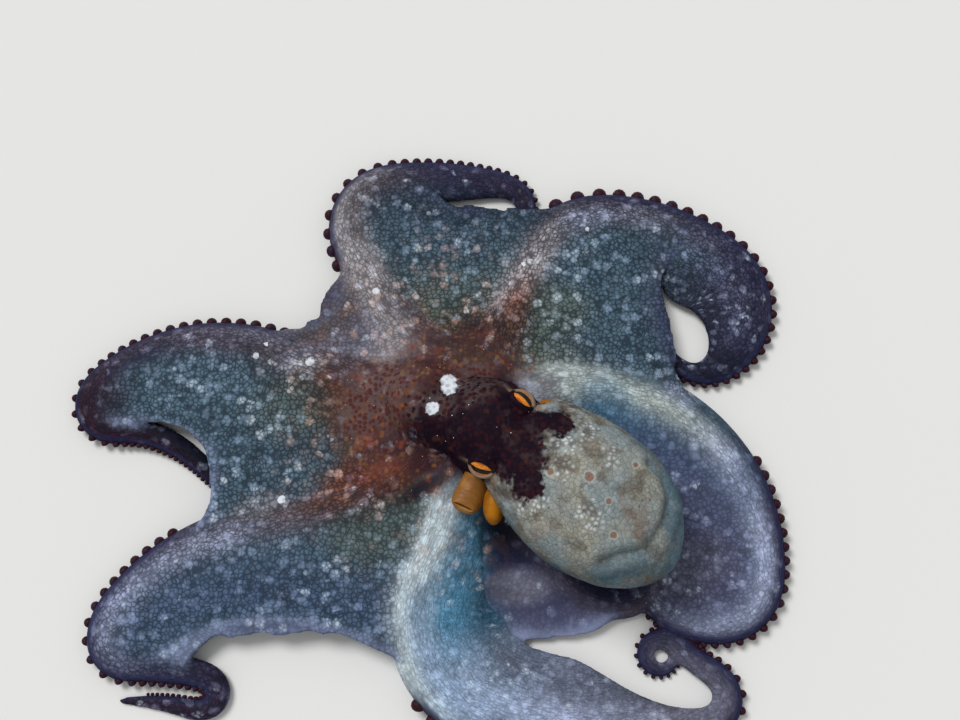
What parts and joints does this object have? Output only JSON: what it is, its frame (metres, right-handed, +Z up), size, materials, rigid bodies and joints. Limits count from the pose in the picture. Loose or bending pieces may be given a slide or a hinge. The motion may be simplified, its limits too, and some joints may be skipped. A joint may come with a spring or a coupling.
{
  "type": "common octopus, spread on the ground",
  "caption": "Life-size still model of an octopus spread flat: bag-like mantle, head with raised eyes, webbed arms with curled tips.",
  "frame": {"origin": "on the ground, below the middle of the bounding box", "axes": "+Z up, +X along the longest spread, the animal faces -X and a little +Y"},
  "size_m": [0.4354, 0.3764, 0.0808],
  "materials": {
    "arm_skin": "wet, smooth skin, brown-violet with pale dots and a blue-violet rim",
    "web_skin": "wet, thin skin, blue-green with a fine dark net and pale dots",
    "head_skin": "wet, finely cobbled skin, dark maroon with a pale net",
    "mantle_skin": "wet, finely cobbled skin, pale grey-green",
    "funnel_skin": "wet, smooth, orange",
    "eye": "wet, clear over a golden-orange iris with a black slit pupil"
  },
  "bodies": {
    "root": {"arm_left_1_base": "arm_skin", "arm_left_1_middle": "arm_skin", "arm_left_1_tip": "arm_skin", "arm_left_2_base": "arm_skin", "arm_left_2_middle": "arm_skin", "arm_left_2_tip": "arm_skin", "arm_left_3_base": "arm_skin", "arm_left_3_middle": "arm_skin", "arm_left_3_tip": "arm_skin", "arm_left_4_base": "arm_skin", "arm_left_4_middle": "arm_skin", "arm_left_4_tip": "arm_skin", "arm_right_1_base": "arm_skin", "arm_right_1_middle": "arm_skin", "arm_right_1_tip": "arm_skin", "arm_right_2_base": "arm_skin", "arm_right_2_middle": "arm_skin", "arm_right_2_tip": "arm_skin", "arm_right_3_base": "arm_skin", "arm_right_3_middle": "arm_skin", "arm_right_3_tip": "arm_skin", "arm_right_4_base": "arm_skin", "arm_right_4_middle": "arm_skin", "arm_right_4_tip": "arm_skin", "crown": "head_skin", "eye_left": "eye", "eye_right": "eye", "funnel": "funnel_skin", "head": "head_skin", "lining_left": "funnel_skin", "lining_right": "funnel_skin", "mantle": "mantle_skin", "web_left_1_right_1": "web_skin", "web_left_2_left_1": "web_skin", "web_left_3_left_2": "web_skin", "web_left_4_left_3": "web_skin", "web_right_1_right_2": "web_skin", "web_right_2_right_3": "web_skin", "web_right_3_right_4": "web_skin", "web_right_4_left_4": "web_skin"}
  },
  "joints": []
}
